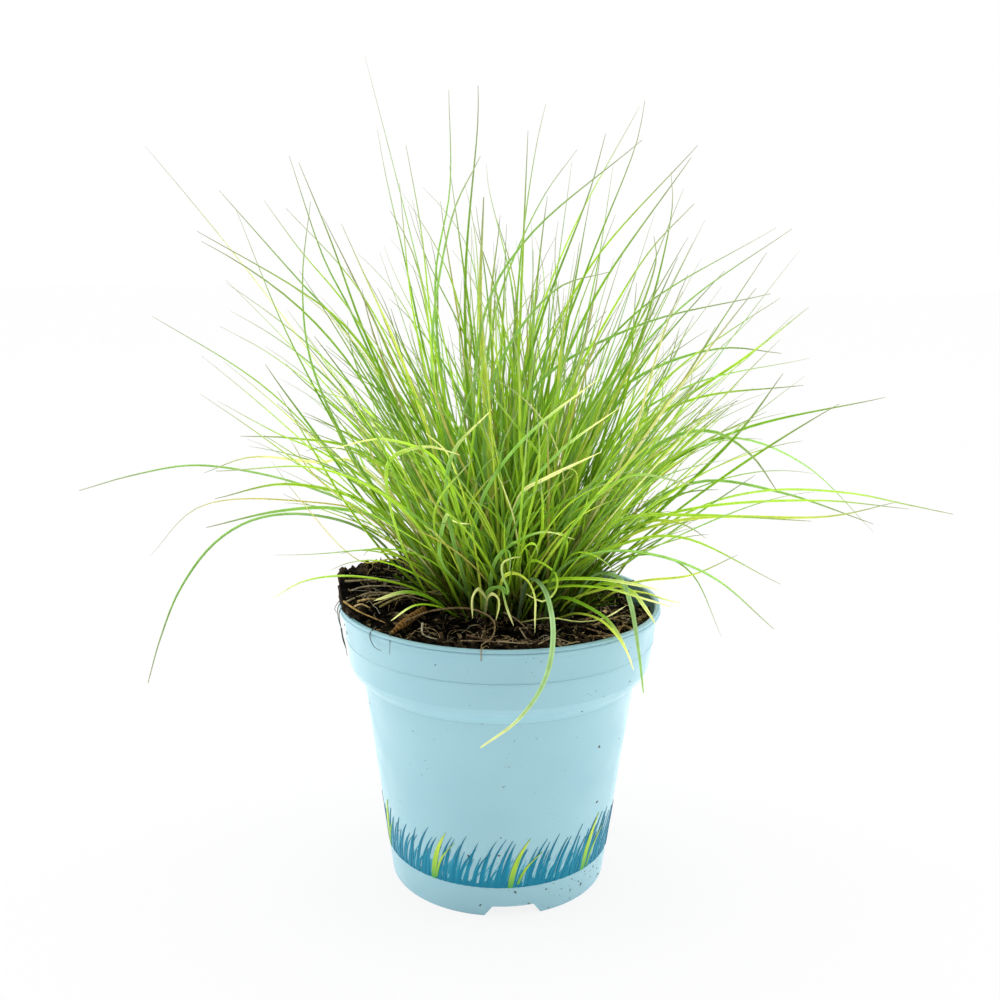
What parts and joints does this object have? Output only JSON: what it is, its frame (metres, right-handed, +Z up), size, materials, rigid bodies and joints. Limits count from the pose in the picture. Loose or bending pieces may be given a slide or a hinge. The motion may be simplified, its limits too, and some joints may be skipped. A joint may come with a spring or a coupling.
{
  "type": "potted ornamental grass",
  "caption": "Clump of fine-leaved fescue grass growing in compost in a round plastic nursery pot, free-standing.",
  "frame": {"origin": "on the pot's axis, on the surface that the pot stands on", "axes": "+Z up, -Y towards the front of the plant, +X to its right"},
  "size_m": [0.314, 0.26, 0.3024],
  "materials": {
    "pot_plastic": null,
    "compost": "dark brown fibrous peat compost with paler rootlets and wood fibres",
    "crown": "dense old leaf bases, olive to straw brown",
    "bark": "rough orange-brown splinter of bark",
    "leaf": "fine folded grass leaf, bright green with some blue-green and yellowing leaves, satin"
  },
  "bodies": {
    "root": {"pot": "pot_plastic", "compost": "compost", "crown": "crown", "bark_chip": "bark", "tuft_01": "leaf", "tuft_02": "leaf", "tuft_03": "leaf", "tuft_04": "leaf", "tuft_05": "leaf", "tuft_06": "leaf", "tuft_07": "leaf", "tuft_08": "leaf", "tuft_09": "leaf", "tuft_10": "leaf", "tuft_11": "leaf", "tuft_12": "leaf", "tuft_13": "leaf", "tuft_14": "leaf", "tuft_15": "leaf", "tuft_16": "leaf", "tuft_17": "leaf", "tuft_18": "leaf", "tuft_19": "leaf", "tuft_20": "leaf", "tuft_21": "leaf", "tuft_22": "leaf", "tuft_23": "leaf", "tuft_24": "leaf", "tuft_25": "leaf", "tuft_26": "leaf", "tuft_27": "leaf", "tuft_28": "leaf", "tuft_29": "leaf", "tuft_30": "leaf", "tuft_31": "leaf", "tuft_32": "leaf", "tuft_33": "leaf", "tuft_34": "leaf", "tuft_35": "leaf", "tuft_36": "leaf", "tuft_37": "leaf", "tuft_38": "leaf", "leaf_front_arch": "leaf", "leaf_right_droop": "leaf", "leaf_right_long": "leaf", "leaf_right_far": "leaf", "leaf_left_far": "leaf", "leaf_left_droop": "leaf", "leaf_left_low": "leaf", "leaf_right_rim": "leaf", "leaf_right_pale": "leaf", "leaf_back_high": "leaf", "leaf_back_left": "leaf", "leaf_back_right": "leaf", "leaf_front_left": "leaf", "leaf_front_right": "leaf"}
  },
  "joints": []
}
